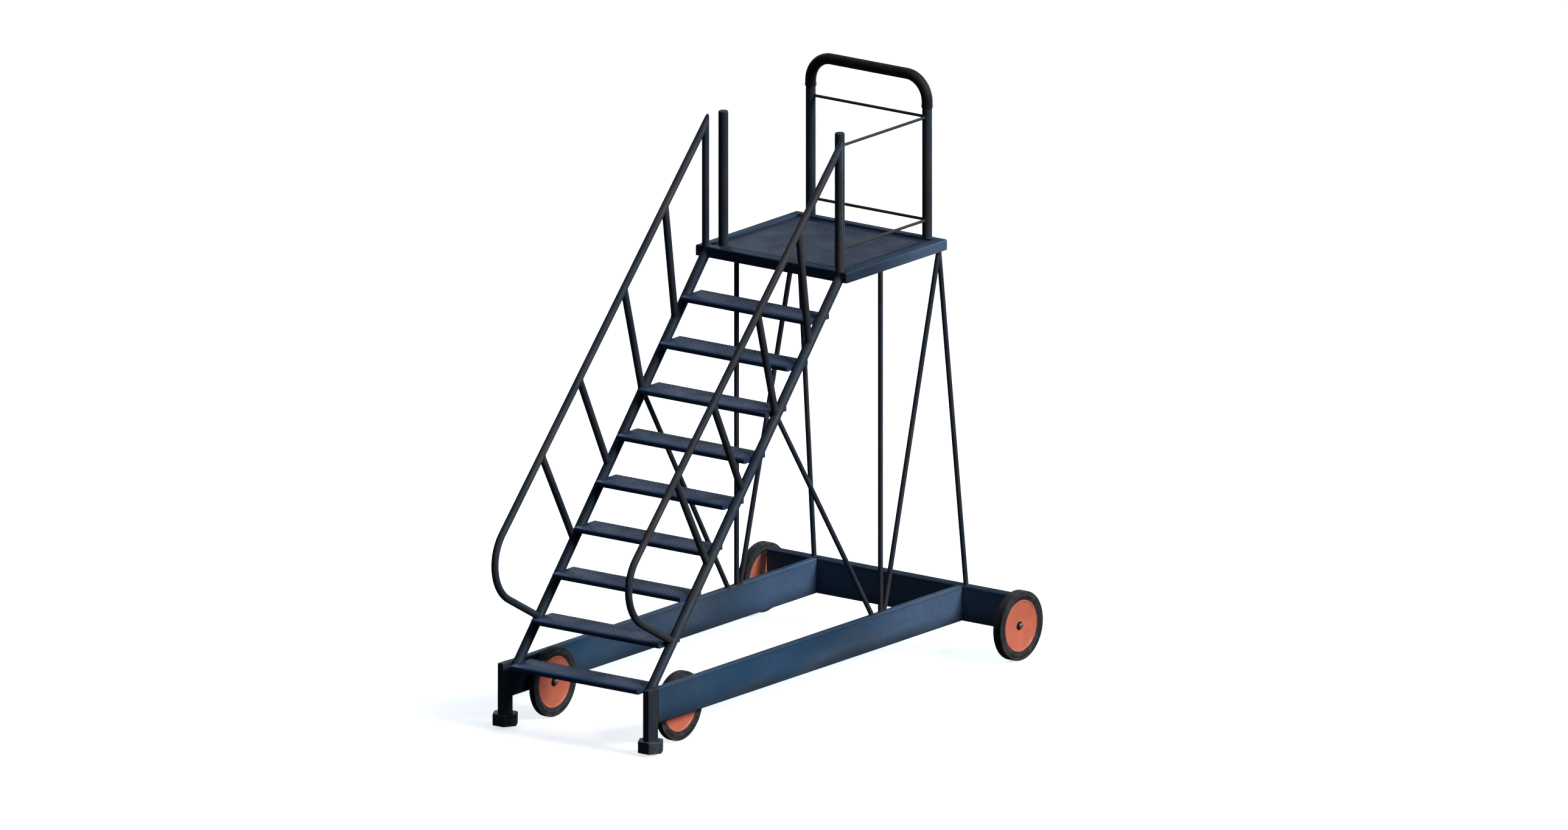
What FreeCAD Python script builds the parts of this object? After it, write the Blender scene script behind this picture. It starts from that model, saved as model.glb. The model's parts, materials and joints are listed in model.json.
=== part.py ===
"""Mobile platform steps with nine treads, a guarded platform and four wheels.

Millimetres. +X runs up the stairs towards the rear, +Y is the climber's left, +Z is up.
The origin is on the floor, under the middle of the whole object.
Lengths along the object are stations, counted from the front end of the side beams.
"""
import FreeCAD
import Part
import math

Vector = FreeCAD.Vector
RIGHT = -1
LEFT = 1
SIDES = {"right": RIGHT, "left": LEFT}

# ---------------------------------------------------------------- driving dimensions
half_width = 564.0                  # side beams and platform, from the centre plane

beam_length = 3015.0
beam_height = 217.0
beam_width = 45.0
beam_bottom = 184.5
section_wall = 3.0
section_corner = 10.0
cross_beam_depth = 73.0
cross_beam_half = 892.0
end_plate = 6.0
axle_diaphragm_inset = 100.0

leg_depth = 97.0
leg_corner = 6.0
leg_top_corner = 5.0
foot_radius = 83.0                  # to the corners of the six-sided foot
foot_height = 73.0
foot_clearance = 18.0               # how far the feet hover while the steps roll
foot_socket = 45.0
foot_corner = 10.0

wheel_radius = 212.5
tyre_halves = {"rear": 31.0, "front": 22.0}     # half of each tyre's width
tyre_seat_radius = 158.0
tyre_ridge_radius = 181.0           # the raised ring on each flank
disc_recess = 7.0                   # the disc's rim, in from the ridge
axle_radius = 15.0
axle_running_gap = 0.05
axle_end = 30.0                     # free end of an axle, from the wheel's middle plane
collar_radius = 22.0                # of the axle's shoulder behind the hub
hub_free_end = 10.0                 # the bush's ends, from the wheel's middle plane
hub_beam_end = 33.0
hub_play = 0.5
clip_groove = 14.0
rear_wheel_y = 953.0
front_wheel_y = 469.0
front_axle_station = 329.0

foot_level = 397.0                  # height at which the feet's stations are given
stringer_diameter = 60.3
stringer_y = 498.0
stringer_foot_station = 24.0        # of the tube's axis at the foot level
stringer_head_station = 1884.0      # the same, at the height of the platform
stringer_head_height = 2523.7
tube_wall = 3.2

tread_count = 9
rise = 240.0
going = 211.6
first_tread_top = 396.0
first_tread_rear = 119.8
tread_depth = 213.0
tread_thickness = 31.0
tread_half = 475.5
tread_nose = 11.0
tread_rear_round = 2.5
sheet = 2.5                         # folded steel of the treads and the platform's rim

platform_front = 1866.0
platform_depth = 1006.0
platform_top = 2568.5
rim_width = 60.0
rim_height = 64.5
rim_edge = 10.0
deck_recess = 11.0
deck_thickness = 3.0
bearer_count = 6
bearer_width = 8.0
bearer_height = 35.0
pad_size = 90.0
pad_thickness = 10.0
drain_y = 250.0
drain_diameter = 12.0

post_station = 1973.4
post_y = 433.7
post_top = 3392.0
cap_chamfer = 5.0
cap_thickness = 6.0
hoop_inset = 31.0                   # hoop legs, from the platform's rear edge
hoop_top = 3552.0
hoop_bend = 150.0
grip_diameter = 67.5
grip_leg = 36.0
rod_diameter = 18.0
rod_heights = (2674.0, 3308.0)

rail_diameter = 44.5
rail_wall = 2.6
rail_post_station = 1883.0
rail_top = 3322.0                   # where the axes of rail and post cross
rail_angle = 46.28
rail_bend = 265.0
rail_foot_station = 228.0
rail_foot_angle = 29.1
strut_rail_stations = (1479.7, 1073.0, 627.9, 253.9)
strut_foot_stations = (1581.2, 1254.4, 916.7, 576.4)

brace_diameter = 31.0
brace_wall = 2.6
brace_y = 536.0
upright_station = 2241.0
stringer_brace_foot = 2156.0
stringer_brace_head = 1258.4
platform_brace_foot = 2275.0
corner_head_station = 2835.0       # where a platform brace and a prop meet, under the platform
corner_head_y = 525.0
fit_up_gap = 0.2                    # between a prop's head and its brace, under the weld
rear_prop_y = 566.0

carrier_plate = 12.0
carrier_length = 110.0
carrier_bottom = 190.0
carrier_top = 300.0
guide_rail = 20.0
guide_lip = 7.0
guide_lip_thickness = 4.0
guide_stop = 6.0
guide_top = 388.0
spring_seat = 380.0
spring_wire = 3.2
spring_diameter = 16.0
spring_turns = 9
spring_spread = 28.0
slide_gap = 0.5

beyond = 4000.0                     # past every part, for shapes that only cut
bite = 1.0                          # how far two fused pieces run into each other

# ---------------------------------------------------------------- worked-out places
beam_top = beam_bottom + beam_height
platform_rear = platform_front + platform_depth
platform_bottom = platform_top - rim_height
deck_top = platform_top - deck_recess
deck_bottom = deck_top - deck_thickness
leg_bottom = foot_clearance + foot_height - foot_socket
rear_axle_station = beam_length + cross_beam_depth / 2
hoop_station = platform_rear - hoop_inset
beam_inner = half_width - beam_width
axle_root_y = cross_beam_half - axle_diaphragm_inset - end_plate - 2

stringer_slope = ((stringer_head_height - foot_level)
                  / (stringer_head_station - stringer_foot_station))


def stringer_height(station):
    """Height of the stringer's axis at a station."""
    return foot_level + stringer_slope * (station - stringer_foot_station)


def rail_height(station):
    """Height of the straight handrail's axis at a station."""
    return rail_top - math.tan(math.radians(rail_angle)) * (rail_post_station - station)


# The rail's straight run and its foot run meet at a corner that the bend rounds off.
_foot_slope = math.tan(math.radians(rail_foot_angle))
_rail_slope = math.tan(math.radians(rail_angle))
_foot_height = stringer_height(rail_foot_station)
rail_corner_station = ((_foot_height + _foot_slope * rail_foot_station
                        - rail_top + _rail_slope * rail_post_station)
                       / (_rail_slope + _foot_slope))
rail_corner_height = rail_height(rail_corner_station)
_half_turn = math.radians(rail_angle + rail_foot_angle) / 2
_bisector = math.radians((rail_angle - rail_foot_angle) / 2)
rail_nose_station = (rail_corner_station
                     + rail_bend / math.sin(_half_turn) * math.cos(_bisector)
                     - rail_bend - rail_diameter / 2)
rear_end_station = rear_axle_station + wheel_radius
middle_station = (rail_nose_station + rear_end_station) / 2


def at(station, y, height):
    """A point in the object's frame."""
    return Vector(station - middle_station, y, height)


# ---------------------------------------------------------------- shape helpers
def box(stations, ys, heights):
    """A box between two stations, two y values and two heights."""
    low_y = min(ys)
    corner = at(stations[0], low_y, heights[0])
    return Part.makeBox(stations[1] - stations[0], max(ys) - low_y, heights[1] - heights[0], corner)


def rod(start, end, diameter):
    """A solid round bar between two points."""
    line = end - start
    return Part.makeCylinder(diameter / 2, line.Length, start, line)


def tube(start, end, diameter, wall):
    """A round tube between two points, open at both ends."""
    return rod(start, end, diameter).cut(rod(start, end, diameter - 2 * wall))


def longer(start, end, extra):
    """The same line, longer by extra at both ends."""
    step = (end - start).normalize() * extra
    return start - step, end + step


def edges_along(shape, axis):
    """Straight edges of a shape that run along a unit vector."""
    found = []
    for edge in shape.Edges:
        if len(edge.Vertexes) == 2:
            line = edge.Vertexes[1].Point - edge.Vertexes[0].Point
            if line.cross(axis).Length < 1e-6:
                found.append(edge)
    return found


def edges_at_height(shape, height):
    """Edges that lie wholly at one height."""
    return [edge for edge in shape.Edges
            if abs(edge.BoundBox.ZMin - height) < 1e-3 and abs(edge.BoundBox.ZMax - height) < 1e-3]


def turned(profile, station, middle_y, height, side):
    """A ring turned about the y direction, from (radius, outward offset) corners."""
    points = [at(station + radius, side * (middle_y + offset), height) for radius, offset in profile]
    face = Part.Face(Part.makePolygon(points + points[:1]))
    solid = face.revolve(at(station, 0, height), Vector(0, 1, 0), 360)
    return outward(solid)


def outward(shape):
    """The same solid with its faces turned outwards."""
    solid = shape.Solids[0] if shape.Solids else Part.Solid(shape.Shells[0])
    if solid.Volume < 0:
        solid.reverse()
    return solid


def swept(path, diameter):
    """A round bar along a wire of lines and tangent arcs."""
    start = path.Edges[0].Vertexes[0].Point
    tangent = path.Edges[0].tangentAt(path.Edges[0].FirstParameter)
    circle = Part.Wire(Part.Circle(start, tangent, diameter / 2).toShape())
    return outward(path.makePipeShell([circle], True, False))


def arc(start, middle, end):
    """A circular arc through three points."""
    return Part.Arc(start, middle, end).toShape()


def line(start, end):
    """A straight edge between two points."""
    return Part.LineSegment(start, end).toShape()


def save(name, *shapes):
    """Write one node, as one solid or as a group of separate solids."""
    solids = [solid for shape in shapes for solid in shape.Solids]
    whole = solids[0] if len(solids) == 1 else Part.makeCompound(solids)
    whole.exportStep("parts/" + name + ".step")
    checks[name] = (len(solids), all(solid.isValid() for solid in solids), whole.Volume)


checks = {}


# ---------------------------------------------------------------- base frame
def section_outline(stations, ys, heights, run):
    """The filled outline of a rectangular section with round corners."""
    outer = box(stations, ys, heights)
    return outer.makeFillet(section_corner, edges_along(outer, run))


def hollow_section(stations, ys, heights, run):
    """A rectangular hollow section with round corners, open at both ends of its run."""
    wall = section_wall
    shrink = [wall if abs(component) < 0.5 else 0.0 for component in (run.x, run.y, run.z)]
    inner = box((stations[0] + shrink[0], stations[1] - shrink[0]),
                (min(ys) + shrink[1], max(ys) - shrink[1]),
                (heights[0] + shrink[2], heights[1] - shrink[2]))
    inner = inner.makeFillet(section_corner - section_wall, edges_along(inner, run))
    return section_outline(stations, ys, heights, run).cut(inner)


def side_beam_place(side):
    """The room and the run of a long beam, from the front leg to the rear cross beam."""
    return ((0, beam_length), (side * beam_inner, side * half_width),
            (beam_bottom, beam_top), Vector(1, 0, 0))


def cross_beam_place():
    """The room and the run of the wide rear beam."""
    return ((beam_length, beam_length + cross_beam_depth), (-cross_beam_half, cross_beam_half),
            (beam_bottom, beam_top), Vector(0, 1, 0))


def rear_cross_beam():
    """The wide rear beam, with end plates and diaphragms that hold the stub axles."""
    stations = cross_beam_place()[0]
    beam = hollow_section(*cross_beam_place())
    plates = []
    bores = []
    for side in (RIGHT, LEFT):
        for face in (cross_beam_half, cross_beam_half - axle_diaphragm_inset):
            plate = box((stations[0] + bite, stations[1] - bite),
                        (side * face, side * (face - end_plate)),
                        (beam_bottom + bite, beam_top - bite))
            plates.append(plate.makeFillet(section_corner - bite, edges_along(plate, Vector(0, 1, 0))))
        bores.append(rod(at(rear_axle_station, side * axle_root_y, wheel_radius),
                         at(rear_axle_station, side * (cross_beam_half + bite), wheel_radius),
                         2 * axle_radius))
    return beam.fuse(plates).cut(bores)


def front_leg(side):
    """The front leg, a closed box section that ends inside its rubber foot."""
    ys = (side * beam_inner, side * half_width)
    outer = box((-leg_depth, 0), ys, (leg_bottom, beam_top))
    outer = outer.makeFillet(leg_corner, edges_along(outer, Vector(0, 0, 1)))
    outer = outer.makeFillet(leg_top_corner, edges_at_height(outer, beam_top))
    inner = box((-leg_depth + section_wall, -section_wall),
                (side * (beam_inner + section_wall), side * (half_width - section_wall)),
                (leg_bottom, beam_top - section_wall))
    return outer.cut(inner)


def rubber_foot(side):
    """A six-sided rubber block with a socket for the leg."""
    middle_y = side * (half_width - beam_width / 2)
    middle = -leg_depth / 2
    top = foot_clearance + foot_height
    corners = []
    for index in range(7):
        turn = math.radians(30 + 60 * index)
        corners.append(at(middle + foot_radius * math.cos(turn),
                          middle_y + foot_radius * math.sin(turn), foot_clearance))
    block = Part.Face(Part.makePolygon(corners)).extrude(Vector(0, 0, foot_height))
    block = block.makeFillet(foot_corner, edges_along(block, Vector(0, 0, 1)))
    block = block.makeFillet(8.0, edges_at_height(block, top))
    block = block.makeFillet(3.0, edges_at_height(block, foot_clearance))
    socket = box((-leg_depth, 0), (middle_y - beam_width / 2, middle_y + beam_width / 2),
                 (leg_bottom, top))
    socket = socket.makeFillet(leg_corner, edges_along(socket, Vector(0, 0, 1)))
    return block.cut(socket)


# ---------------------------------------------------------------- stair
def stringer_rod(side, diameter):
    """A round bar along a stringer's axis, longer than the stringer."""
    start, end = longer(at(stringer_foot_station, side * stringer_y, foot_level),
                        at(stringer_head_station, side * stringer_y, stringer_head_height), 300)
    return rod(start, end, diameter)


def stringer_core(side):
    """The solid outline of a stringer's tube, trimmed at its foot and under the platform."""
    core = stringer_rod(side, stringer_diameter)
    below = box((-beyond, beyond), (-beyond, beyond),
                (-beyond, first_tread_top - tread_thickness))
    behind_rim = box((platform_front, beyond), (-beyond, beyond), (platform_bottom, beyond))
    beside_beam = box((-leg_depth, beam_length), (side * beam_inner, side * half_width), (0, beam_top))
    return core.cut([below, behind_rim, beside_beam])


def stringer(side):
    """The sloping tube that carries one end of every tread."""
    return stringer_cores[side].cut(stringer_rod(side, stringer_diameter - 2 * tube_wall))


def tread(number):
    """A folded steel tread with a round nose, a rear lip and end plates round the stringers."""
    rear = first_tread_rear + going * (number - 1)
    top = first_tread_top + rise * (number - 1)
    front = rear - tread_depth
    bottom = top - tread_thickness
    outer = box((front, rear), (-tread_half, tread_half), (bottom, top))
    nose_edges = [edge for edge in edges_along(outer, Vector(0, 1, 0))
                  if abs(edge.BoundBox.XMin - at(front, 0, 0).x) < 1e-3]
    outer = outer.makeFillet(tread_nose, nose_edges)
    rear_edges = [edge for edge in edges_along(outer, Vector(0, 1, 0))
                  if edge.BoundBox.ZMin > top - 1 and abs(edge.BoundBox.XMin - at(rear, 0, 0).x) < 1e-3]
    outer = outer.makeFillet(tread_rear_round, rear_edges)
    hollow = box((front + tread_nose + sheet, rear - sheet),
                 (-tread_half + sheet, tread_half - sheet), (bottom, top - sheet))
    groove = box((front + sheet, front + tread_nose + sheet),
                 (-tread_half + sheet, tread_half - sheet),
                 (bottom + tread_nose, top - tread_nose))
    return outer.cut([hollow, groove, stringer_cores[RIGHT], stringer_cores[LEFT]])


# ---------------------------------------------------------------- platform
def rail_post_core(side):
    """The solid outline of a handrail post, from the stringer up past the mitre."""
    return rod(at(rail_post_station, side * stringer_y, platform_bottom),
               at(rail_post_station, side * stringer_y, rail_top + 2 * rail_diameter), rail_diameter)


def platform_frame():
    """A hollow rim with drain holes, flat bearers under the deck and pads under the posts."""
    rim = box((platform_front, platform_rear), (-half_width, half_width),
              (platform_bottom, platform_top))
    rim = rim.makeFillet(rim_edge, edges_along(rim, Vector(0, 0, 1))
                         + edges_at_height(rim, platform_top))
    inner = box((platform_front + rim_width, platform_rear - rim_width),
                (rim_width - half_width, half_width - rim_width),
                (platform_bottom - bite, platform_top + bite))
    rim = rim.cut(inner)
    wall = sheet
    cavity = box((platform_front + wall, platform_rear - wall),
                 (wall - half_width, half_width - wall),
                 (platform_bottom + wall, platform_top - wall))
    cavity = cavity.makeFillet(rim_edge - wall, edges_along(cavity, Vector(0, 0, 1))
                               + edges_at_height(cavity, platform_top - wall))
    core = box((platform_front + rim_width - wall, platform_rear - rim_width + wall),
               (rim_width - wall - half_width, half_width - rim_width + wall),
               (platform_bottom, platform_top))
    drains = []
    for station in (platform_front + rim_width / 2, platform_rear - rim_width / 2):
        for y in (-drain_y, drain_y):
            drains.append(rod(at(station, y, platform_bottom - bite),
                              at(station, y, platform_bottom + wall + bite), drain_diameter))
    rim = rim.cut([cavity.cut(core)] + drains)

    bars = []
    inner_depth = platform_depth - 2 * rim_width
    for index in range(bearer_count):
        station = platform_front + rim_width + inner_depth * (index + 0.5) / bearer_count
        bars.append(bearer(station))
    bars.append(bearer(post_station))
    pads = []
    for side in (RIGHT, LEFT):
        pads.append(box((post_station - pad_size / 2, post_station + pad_size / 2),
                        (side * (post_y - pad_size / 2), side * (post_y + pad_size / 2)),
                        (deck_bottom - pad_thickness, deck_bottom)))
    frame = rim.fuse(bars + pads)
    return frame.cut([rail_post_core(RIGHT), rail_post_core(LEFT)])


def bearer(station):
    """A flat bar on edge that carries the deck."""
    reach = half_width - rim_width + bite
    return box((station - bearer_width / 2, station + bearer_width / 2), (-reach, reach),
               (deck_bottom - bearer_height, deck_bottom))


def platform_deck():
    """The deck plate, dropped inside the rim, with holes for the front posts."""
    plate = box((platform_front + rim_width, platform_rear - rim_width),
                (rim_width - half_width, half_width - rim_width), (deck_bottom, deck_top))
    holes = [rod(at(post_station, side * post_y, deck_bottom - bite),
                 at(post_station, side * post_y, deck_top + bite), stringer_diameter)
             for side in (RIGHT, LEFT)]
    return plate.cut(holes)


def front_post(side):
    """The stub post beside the platform's entrance, closed by a chamfered cap."""
    foot = at(post_station, side * post_y, deck_bottom)
    head = at(post_station, side * post_y, post_top)
    post = rod(foot, head, stringer_diameter)
    post = post.makeChamfer(cap_chamfer, edges_at_height(post, post_top))
    bore = rod(foot, head - Vector(0, 0, cap_thickness), stringer_diameter - 2 * tube_wall)
    return post.cut(bore)


def hoop_path(leg_start):
    """The hoop's axis, from one leg over the top to the other."""
    corner = hoop_bend * (1 - math.sqrt(0.5))
    right_arc = arc(at(hoop_station, -post_y, hoop_top - hoop_bend),
                    at(hoop_station, -post_y + corner, hoop_top - corner),
                    at(hoop_station, -post_y + hoop_bend, hoop_top))
    left_arc = arc(at(hoop_station, post_y - hoop_bend, hoop_top),
                   at(hoop_station, post_y - corner, hoop_top - corner),
                   at(hoop_station, post_y, hoop_top - hoop_bend))
    return Part.Wire([
        line(at(hoop_station, -post_y, leg_start), at(hoop_station, -post_y, hoop_top - hoop_bend)),
        right_arc,
        line(at(hoop_station, -post_y + hoop_bend, hoop_top),
             at(hoop_station, post_y - hoop_bend, hoop_top)),
        left_arc,
        line(at(hoop_station, post_y, hoop_top - hoop_bend), at(hoop_station, post_y, leg_start)),
    ])


def rear_hoop():
    """The rear guard, one bent tube standing on the rim."""
    path = hoop_path(platform_top)
    return swept(path, stringer_diameter).cut(swept(path, stringer_diameter - 2 * tube_wall))


def hoop_grip():
    """The rubber sleeve over the top of the hoop and its bends."""
    path = hoop_path(hoop_top - hoop_bend - grip_leg)
    sleeve = swept(path, grip_diameter)
    return sleeve.cut(swept(path, stringer_diameter))


def guard_rods():
    """Two rods across the hoop and two between the right post and the hoop."""
    legs = [rod(at(hoop_station, side * post_y, platform_top),
                at(hoop_station, side * post_y, hoop_top), stringer_diameter)
            for side in (RIGHT, LEFT)]
    post = rod(at(post_station, -post_y, platform_top), at(post_station, -post_y, post_top),
               stringer_diameter)
    rods = []
    for height in rod_heights:
        across = rod(at(hoop_station, -post_y, height), at(hoop_station, post_y, height),
                     rod_diameter)
        along = rod(at(post_station, -post_y, height), at(hoop_station, -post_y, height),
                    rod_diameter)
        rods.append(across.cut(legs))
        rods.append(along.cut([post, legs[0]]))
    return rods


# ---------------------------------------------------------------- handrails
def rail_path(side):
    """The handrail's axis: straight run, bend and foot run into the stringer."""
    y = side * stringer_y
    slope = math.radians(rail_angle)
    foot = math.radians(rail_foot_angle)
    corner = at(rail_corner_station, y, rail_corner_height)
    up = Vector(math.cos(slope), 0, math.sin(slope))
    down = Vector(math.cos(foot), 0, -math.sin(foot))
    tangent = rail_bend / math.tan(_half_turn)
    inward = Vector(math.cos(_bisector), 0, math.sin(_bisector))
    middle = corner + inward * (rail_bend / math.sin(_half_turn) - rail_bend)
    top = at(rail_post_station, y, rail_top) + up * 2 * rail_diameter
    return Part.Wire([
        line(top, corner + up * tangent),
        arc(corner + up * tangent, middle, corner + down * tangent),
        line(corner + down * tangent, at(rail_foot_station, y, _foot_height)),
    ])


def beside_mitre(side, part):
    """The space on the rail's or the post's side of the plane where the two are mitred."""
    slope = math.radians(rail_angle)
    along = Vector(-math.cos(slope), 0, -math.sin(slope)) + Vector(0, 0, -1)
    along.normalize()
    across = Vector(along.z, 0, -along.x) * (1 if part == "rail" else -1)
    reach = 4 * rail_diameter
    corner = at(rail_post_station, side * stringer_y - reach, rail_top)
    points = [corner - along * reach, corner + along * reach,
              corner + along * reach + across * reach, corner - along * reach + across * reach]
    face = Part.Face(Part.makePolygon(points + points[:1]))
    return face.extrude(Vector(0, 2 * reach, 0))


def handrail(side):
    """The sloping rail with its bent foot, mitred at the top."""
    path = rail_path(side)
    rail = swept(path, rail_diameter).cut(swept(path, rail_diameter - 2 * rail_wall))
    return rail.cut([beside_mitre(side, "post"), stringer_cores[side]])


def handrail_uprights(side):
    """The vertical post and the four slanted struts that carry the rail."""
    y = side * stringer_y
    post = rail_post_core(side)
    bore = rod(at(rail_post_station, y, platform_bottom - bite),
               at(rail_post_station, y, rail_top + 3 * rail_diameter), rail_diameter - 2 * rail_wall)
    post = post.cut([bore, beside_mitre(side, "rail"), stringer_cores[side]])
    rail = swept(rail_path(side), rail_diameter)
    uprights = [post]
    for head, foot in zip(strut_rail_stations, strut_foot_stations):
        strut = tube(at(head, y, rail_height(head)), at(foot, y, stringer_height(foot)),
                     rail_diameter, rail_wall)
        uprights.append(strut.cut([rail, stringer_cores[side]]))
    return uprights


# ---------------------------------------------------------------- bracing
def brace(foot, head, footing):
    """A brace tube, cut to sit on its footing's outline and level under the platform."""
    start, end = longer(foot, head, 2 * brace_diameter)
    whole = tube(start, end, brace_diameter, brace_wall)
    high = box((-beyond, beyond), (-beyond, beyond), (platform_bottom, beyond))
    return largest(whole.cut([footing, high]))


def upright_brace(side):
    """The vertical tube from the side beam to the platform."""
    return brace(at(upright_station, side * brace_y, foot_level),
                 at(upright_station, side * brace_y, platform_bottom), beam_outlines[side])


def stringer_brace(side):
    """The tube from the side beam up to the middle of the stringer."""
    foot = at(stringer_brace_foot, side * brace_y, foot_level)
    head = at(stringer_brace_head, side * stringer_y, stringer_height(stringer_brace_head))
    start = longer(foot, head, 2 * brace_diameter)[0]
    whole = tube(start, head, brace_diameter, brace_wall)
    return largest(whole.cut([beam_outlines[side], stringer_cores[side]]))


def platform_brace_ends(side):
    """The ends of a platform brace's axis, on the side beam and under the platform's corner."""
    return (at(platform_brace_foot, side * brace_y, foot_level),
            at(corner_head_station, side * corner_head_y, platform_bottom))


def platform_brace(side):
    """The tube from the side beam up to the platform's rear corner."""
    foot, head = platform_brace_ends(side)
    return brace(foot, head, beam_outlines[side])


def rear_prop(side):
    """The tube from the cross beam up to the head of the platform brace."""
    brace_foot, head = platform_brace_ends(side)
    prop = brace(at(rear_axle_station, side * rear_prop_y, foot_level), head,
                 section_outline(*cross_beam_place()))
    start, end = longer(brace_foot, head, 2 * brace_diameter)
    return largest(prop.cut(rod(start, end, brace_diameter + 2 * fit_up_gap)))


def largest(shape):
    """The biggest solid of a shape."""
    return max(shape.Solids, key=lambda solid: solid.Volume)


# ---------------------------------------------------------------- wheels
def tyre(station, middle_y, side, half):
    """A solid rubber tyre with a raised ring on each flank, dished from there to its seat."""
    radius = wheel_radius
    ridge = tyre_ridge_radius
    flank = [(tyre_seat_radius, half - 7.5), (tyre_seat_radius + 8, half - 5), (ridge - 3, half - 0.8),
             (ridge - 1, half), (ridge + 1, half), (ridge + 4, half - 1), (radius - 10, half - 1.8),
             (radius - 3.5, half - 2.6), (radius - 1, half - 4.5), (radius, half - 7.5)]
    profile = [(across, -along) for across, along in flank]
    profile += [(across, along) for across, along in reversed(flank)]
    return turned(profile, station, middle_y, wheel_radius, side)


def wheel_disc(station, middle_y, side, half):
    """The moulded wheel centre: dished on both faces, with its hub on the beam's side."""
    rim = half - disc_recess
    seat = tyre_seat_radius
    bush = axle_radius + 4
    profile = [(seat, rim - 2), (seat - 2, rim), (seat - 8, rim), (seat - 12, rim - 3),
               (40, hub_free_end - 2), (bush, hub_free_end - 2),
               (bush, 2 - hub_beam_end), (32, 2 - hub_beam_end), (34, 4 - hub_beam_end),
               (36, -12), (50, -9), (seat - 12, 3 - rim), (seat - 8, -rim), (seat - 2, -rim),
               (seat, 2 - rim)]
    return turned(profile, station, middle_y, wheel_radius, side)


def hub_bush(station, middle_y, side):
    """A plain bush with one flange, that runs on the axle."""
    bore = axle_radius + axle_running_gap
    seat = axle_radius + 4
    profile = [(bore, -hub_beam_end), (26, -hub_beam_end), (26, 2 - hub_beam_end),
               (seat, 2 - hub_beam_end), (seat, hub_free_end), (bore, hub_free_end)]
    return turned(profile, station, middle_y, wheel_radius, side)


def axle(station, root_y, collar_y, wheel_y, free_side, side):
    """A stub axle with a collar behind the wheel and a groove for its clip."""
    groove = clip_groove
    radius = axle_radius
    neck = radius - 1.5
    collar = wheel_y - free_side * (hub_beam_end + hub_play)
    ends = [(radius, groove), (neck, groove), (neck, groove + 2.2), (radius, groove + 2.2),
            (radius, axle_end - 3), (radius - 3, axle_end), (0, axle_end)]
    profile = [(0, root_y), (radius, root_y), (radius, collar_y), (collar_radius - 2, collar_y),
               (collar_radius, collar_y + (collar - collar_y) * 0.1), (collar_radius, collar),
               (radius, collar)]
    profile += [(across, wheel_y + free_side * along) for across, along in ends]
    return turned(profile, station, 0, wheel_radius, side)


def axle_clips(station, wheel_y, free_side, side):
    """A washer and an open spring clip that hold one wheel on its axle."""
    washer_start = hub_free_end + hub_play
    washer = ring(station, wheel_y, free_side, side,
                  (washer_start, washer_start + 3), (axle_radius + 0.2, 25))
    clip = ring(station, wheel_y, free_side, side,
                (clip_groove + 0.1, clip_groove + 2.1), (axle_radius - 1.4, axle_radius + 6))
    mouth = box((station - 11, station + 11), (side * (wheel_y - 40), side * (wheel_y + 40)),
                (wheel_radius - 60, wheel_radius))
    return washer, clip.cut(mouth)


def ring(station, wheel_y, free_side, side, reach, radii):
    """A flat ring round an axle, between two distances from the wheel's middle plane."""
    low, high = [wheel_y + free_side * distance for distance in reach]
    profile = [(radii[0], low), (radii[1], low), (radii[1], high), (radii[0], high)]
    return turned(profile, station, 0, wheel_radius, side)


# ---------------------------------------------------------------- sprung front axles
def front_carrier(side):
    """The sliding plate with its stub axle, which rises when a climber loads the steps."""
    outer = beam_inner - slide_gap
    inner = outer - carrier_plate
    middle = front_axle_station
    plate = box((middle - carrier_length / 2, middle + carrier_length / 2),
                (side * inner, side * outer), (carrier_bottom, carrier_top))
    plate = plate.makeFillet(4.0, edges_along(plate, Vector(0, 1, 0)))
    stub = axle(middle, outer - 1, inner, front_wheel_y, -1, side)
    return plate.fuse(stub)


def axle_guide(side):
    """The welded guide: two keepers, a stop below and the springs' seat above."""
    outer = beam_inner
    plate_inner = beam_inner - 2 * slide_gap - carrier_plate
    lip = plate_inner - guide_lip_thickness
    reach = carrier_length / 2 + slide_gap
    pieces = []
    for end in (-1, 1):
        near = front_axle_station + end * reach
        far = front_axle_station + end * (reach + guide_rail)
        over = front_axle_station + end * (reach - guide_lip)
        low = carrier_bottom - guide_stop
        pieces.append(box(sorted((near, far)), (side * plate_inner, side * outer), (low, guide_top)))
        pieces.append(box(sorted((over, far)), (side * lip, side * plate_inner), (low, guide_top)))
    span = (front_axle_station - reach - 1, front_axle_station + reach + 1)
    pieces.append(box(span, (side * plate_inner, side * outer), (low, carrier_bottom)))
    pieces.append(box(span, (side * lip, side * outer), (spring_seat, guide_top)))
    return pieces[0].fuse(pieces[1:]).removeSplitter()


def suspension_springs(side):
    """The pair of coil springs that press the sliding plate down."""
    mean = (spring_diameter - spring_wire) / 2
    y = side * (beam_inner - slide_gap - carrier_plate / 2 - 2.5)
    height = spring_seat - carrier_top - spring_wire - 0.4
    springs = []
    for offset in (-spring_spread, spring_spread):
        base = at(front_axle_station + offset, y, carrier_top + spring_wire / 2 + 0.2)
        helix = Part.makeHelix(height / spring_turns, height, mean)
        start = Part.Wire(Part.Circle(Vector(mean, 0, 0), Vector(0, 1, 0), spring_wire / 2).toShape())
        coil = outward(Part.Wire(helix).makePipeShell([start], True, True))
        coil.translate(base)
        springs.append(coil)
    return springs


# ---------------------------------------------------------------- build every node
stringer_cores = {side: stringer_core(side) for side in (RIGHT, LEFT)}
beam_outlines = {side: section_outline(*side_beam_place(side)) for side in (RIGHT, LEFT)}

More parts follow.
